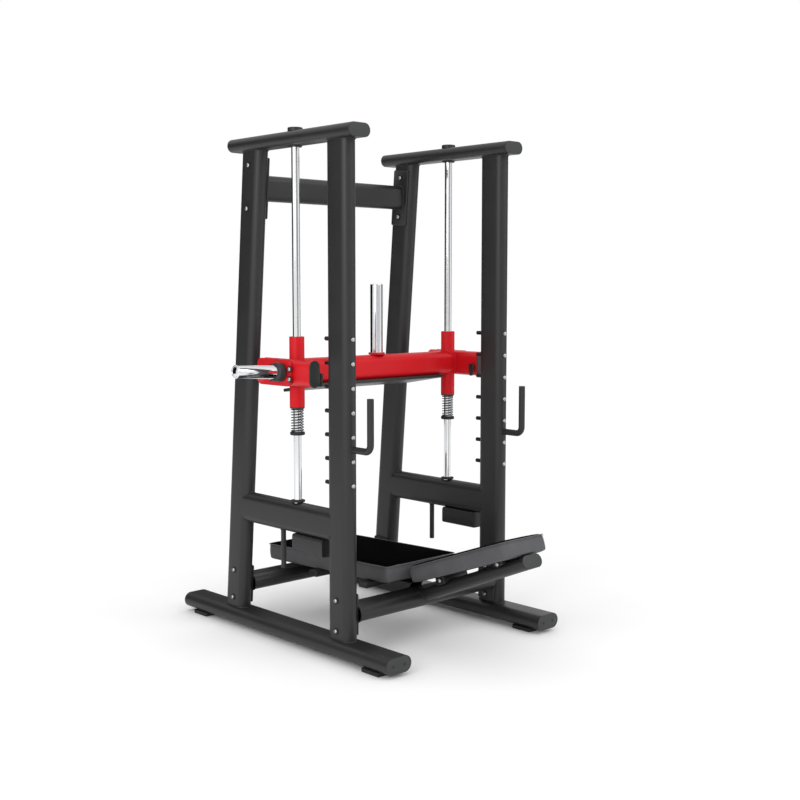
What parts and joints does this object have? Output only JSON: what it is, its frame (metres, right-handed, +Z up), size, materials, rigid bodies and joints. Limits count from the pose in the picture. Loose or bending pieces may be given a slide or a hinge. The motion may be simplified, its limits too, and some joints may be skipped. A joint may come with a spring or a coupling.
{
  "type": "vertical leg press machine",
  "caption": "Plate-loaded vertical leg press: a carriage with a foot plate slides on guide rods between two tube frames above a seat and an inclined back pad.",
  "frame": {"origin": "on the floor, at the centre of the bounding box", "axes": "+X across the machine toward its right-hand frame, -Y toward the head end of the inclined back pad, +Z up"},
  "size_m": [1.3728, 1.5344, 1.9443],
  "materials": {
    "black_powder_coat": "satin powder coat",
    "red_powder_coat": "gloss powder coat",
    "chrome": "polished",
    "zinc_steel": "zinc plated",
    "black_plastic": "moulded, fine texture",
    "black_rubber": "matt",
    "black_upholstery": "grained synthetic leather"
  },
  "bodies": {
    "frame": {"base_tube_left": "black_powder_coat", "base_tube_right": "black_powder_coat", "base_cap_front_left": "black_plastic", "base_cap_front_right": "black_plastic", "base_cap_rear_left": "black_plastic", "base_cap_rear_right": "black_plastic", "foot_front_left": "black_rubber", "foot_front_right": "black_rubber", "foot_rear_left": "black_rubber", "foot_rear_right": "black_rubber", "front_upright_left": "black_powder_coat", "front_upright_right": "black_powder_coat", "rear_upright_left": "black_powder_coat", "rear_upright_right": "black_powder_coat", "mid_rail_left": "black_powder_coat", "mid_rail_right": "black_powder_coat", "top_rail_left": "black_powder_coat", "top_rail_right": "black_powder_coat", "top_cap_front_left": "black_plastic", "top_cap_front_right": "black_plastic", "top_cap_rear_left": "black_plastic", "top_cap_rear_right": "black_plastic", "guide_rod_left": "chrome", "guide_rod_right": "chrome", "guide_rod_nut_left": "black_powder_coat", "guide_rod_nut_right": "black_powder_coat", "guide_rod_stop_left": "black_rubber", "guide_rod_stop_right": "black_rubber", "peg_rack_left": "zinc_steel", "peg_rack_right": "zinc_steel", "hand_grip_left": "black_powder_coat", "hand_grip_right": "black_powder_coat", "lower_front_crossmember": "black_powder_coat", "lower_rear_crossmember": "black_powder_coat", "upper_rear_beam": "black_powder_coat", "seat_frame": "black_powder_coat", "seat_pad": "black_upholstery", "back_support": "black_powder_coat", "back_support_cap": "black_plastic", "back_pad": "black_upholstery"},
    "carriage": {"carriage_side_tube_left": "red_powder_coat", "carriage_side_tube_right": "red_powder_coat", "side_tube_cap_left": "black_plastic", "side_tube_cap_right": "black_plastic", "guide_sleeve_left": "red_powder_coat", "guide_sleeve_right": "red_powder_coat", "horn_plate_left": "red_powder_coat", "horn_plate_right": "red_powder_coat", "plate_horn_left": "chrome", "plate_horn_right": "chrome", "buffer_spring_left": "zinc_steel", "buffer_spring_right": "zinc_steel", "carriage_beam": "red_powder_coat", "foot_plate": "black_powder_coat", "plate_horn_centre": "chrome"},
    "buffer_left": {"buffer_ring_left": "black_rubber"},
    "buffer_right": {"buffer_ring_right": "black_rubber"},
    "catch_left": {"peg_catch_left": "zinc_steel"},
    "catch_right": {"peg_catch_right": "zinc_steel"}
  },
  "joints": [
    {"name": "carriage_lift", "type": "slide", "parent": "frame", "child": "carriage", "axis": [0, 0, 1], "range_m": [-0.2455, 0.687]},
    {"name": "buffer_left_compress", "type": "slide", "parent": "carriage", "child": "buffer_left", "axis": [0, 0, 1], "range_m": [0, 0.05], "stiffness_N_per_m": 5000, "deforming": ["buffer_spring_left"]},
    {"name": "buffer_right_compress", "type": "slide", "parent": "carriage", "child": "buffer_right", "axis": [0, 0, 1], "range_m": [0, 0.05], "stiffness_N_per_m": 5000, "deforming": ["buffer_spring_right"]},
    {"name": "catch_left_swing", "type": "hinge", "parent": "carriage", "child": "catch_left", "pos_m": [-0.402, -0.072, 1.035], "axis": [-1, 0, 0], "range_deg": [0, 75]},
    {"name": "catch_right_swing", "type": "hinge", "parent": "carriage", "child": "catch_right", "pos_m": [0.402, -0.072, 1.035], "axis": [-1, 0, 0], "range_deg": [0, 75]}
  ]
}
